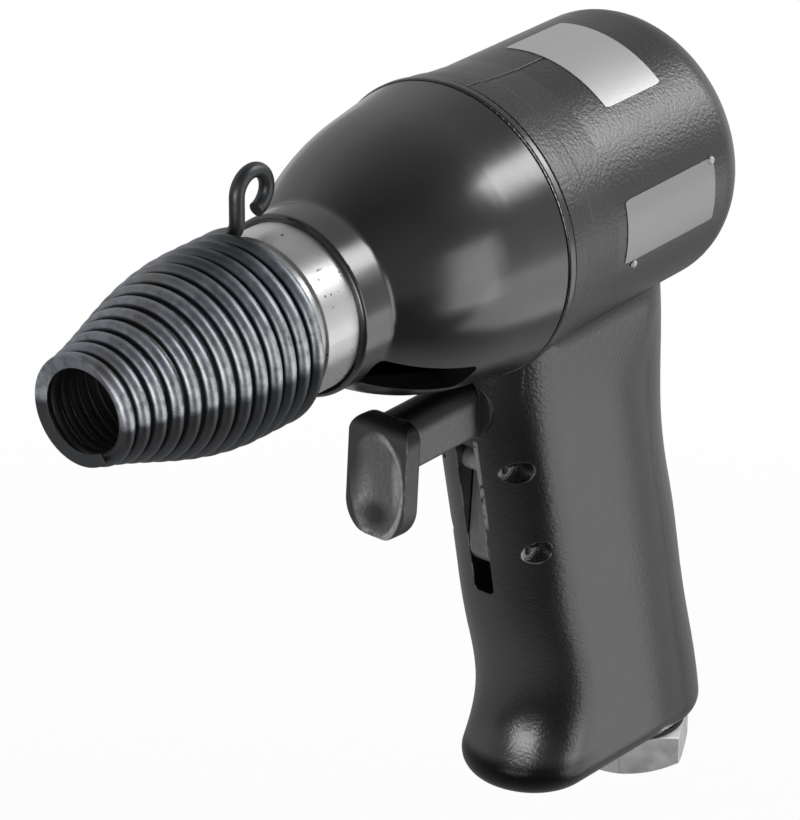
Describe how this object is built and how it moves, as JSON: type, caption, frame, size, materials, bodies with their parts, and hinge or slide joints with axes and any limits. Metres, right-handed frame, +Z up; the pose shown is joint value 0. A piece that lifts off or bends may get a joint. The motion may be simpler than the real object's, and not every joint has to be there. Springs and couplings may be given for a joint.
{
  "type": "pneumatic chipping hammer",
  "caption": "Pistol-grip pneumatic chipping hammer: beehive chisel retainer, floating cylinder, striking piston, trigger-worked throttle valve and threaded air inlet.",
  "frame": {"origin": "the mouth of the chisel socket, on the barrel's axis", "axes": "the barrel runs along Y with its nose towards -Y; +Z is up, away from the grip; +X is the tool's left as a worker holds it, seen on the right in a front view"},
  "size_m": [0.0626, 0.1845, 0.1744],
  "materials": {
    "painted_alloy": "semi-gloss black paint with a fine leather-like grain over cast light alloy",
    "gloss_black": "smooth glossy black moulding",
    "rubber": "matt black rubber",
    "spring_steel": "dark bluish oil-tempered wire",
    "ground_steel": "bright turned and ground steel",
    "worn_steel": "dark steel with bright worn edges",
    "pin_steel": "bare rolled steel",
    "brass": "machined",
    "plated_steel": "bright zinc plate"
  },
  "bodies": {
    "housing": {"handle_housing": "painted_alloy", "front_cover": "gloss_black", "cover_seal": "rubber", "wiper_ring": "rubber", "front_buffer": "rubber", "rear_buffer": "rubber", "damping_spring": "spring_steel", "upper_pin": "pin_steel", "lower_pin": "pin_steel", "throttle_bush": "brass", "throttle_bush_seals": "rubber", "throttle_spring": "spring_steel", "inlet_bushing": "plated_steel", "inlet_washer": "rubber", "inlet_strainer": "brass"},
    "cylinder_group": {"cylinder": "ground_steel", "nozzle_bush": "ground_steel", "retainer_spring": "spring_steel", "cylinder_seal": "rubber", "valve_seat": "ground_steel", "valve_cap": "ground_steel", "valve_dowels": "ground_steel"},
    "piston": {"piston": "ground_steel"},
    "valve_plate": {"valve_plate": "ground_steel"},
    "trigger": {"trigger": "worn_steel"},
    "trigger_link": {"trigger_link": "worn_steel"},
    "throttle_valve": {"throttle_valve": "brass", "valve_facing": "rubber"}
  },
  "joints": [
    {"name": "cylinder_float", "type": "slide", "parent": "housing", "child": "cylinder_group", "axis": [0, 1, 0], "range_m": [0, 0.003], "stiffness_N_per_m": 2000, "springref_m": -0.002, "deforming": ["damping_spring"]},
    {"name": "piston_stroke", "type": "slide", "parent": "cylinder_group", "child": "piston", "axis": [0, 1, 0], "range_m": [0, 0.0272]},
    {"name": "plate_shuttle", "type": "slide", "parent": "cylinder_group", "child": "valve_plate", "axis": [0, 1, 0], "range_m": [0, 0.0008]},
    {"name": "trigger_pull", "type": "slide", "parent": "housing", "child": "trigger", "axis": [0, 1, 0], "range_m": [0, 0.004], "stiffness_N_per_m": 600, "springref_m": -0.004, "deforming": ["throttle_spring"]},
    {"name": "link_swing", "type": "hinge", "parent": "housing", "child": "trigger_link", "pos_m": [0, 0.08885, -0.0745], "axis": [-1, 0, 0], "range_deg": [0, 7.4]},
    {"name": "valve_lift", "type": "slide", "parent": "housing", "child": "throttle_valve", "axis": [0, 1, 0], "range_m": [0, 0.0041]}
  ],
  "couplings": [
    {"joint": "link_swing", "follows": "trigger_pull", "rad_per_m": 31.25},
    {"joint": "valve_lift", "follows": "trigger_pull", "ratio": 1}
  ]
}
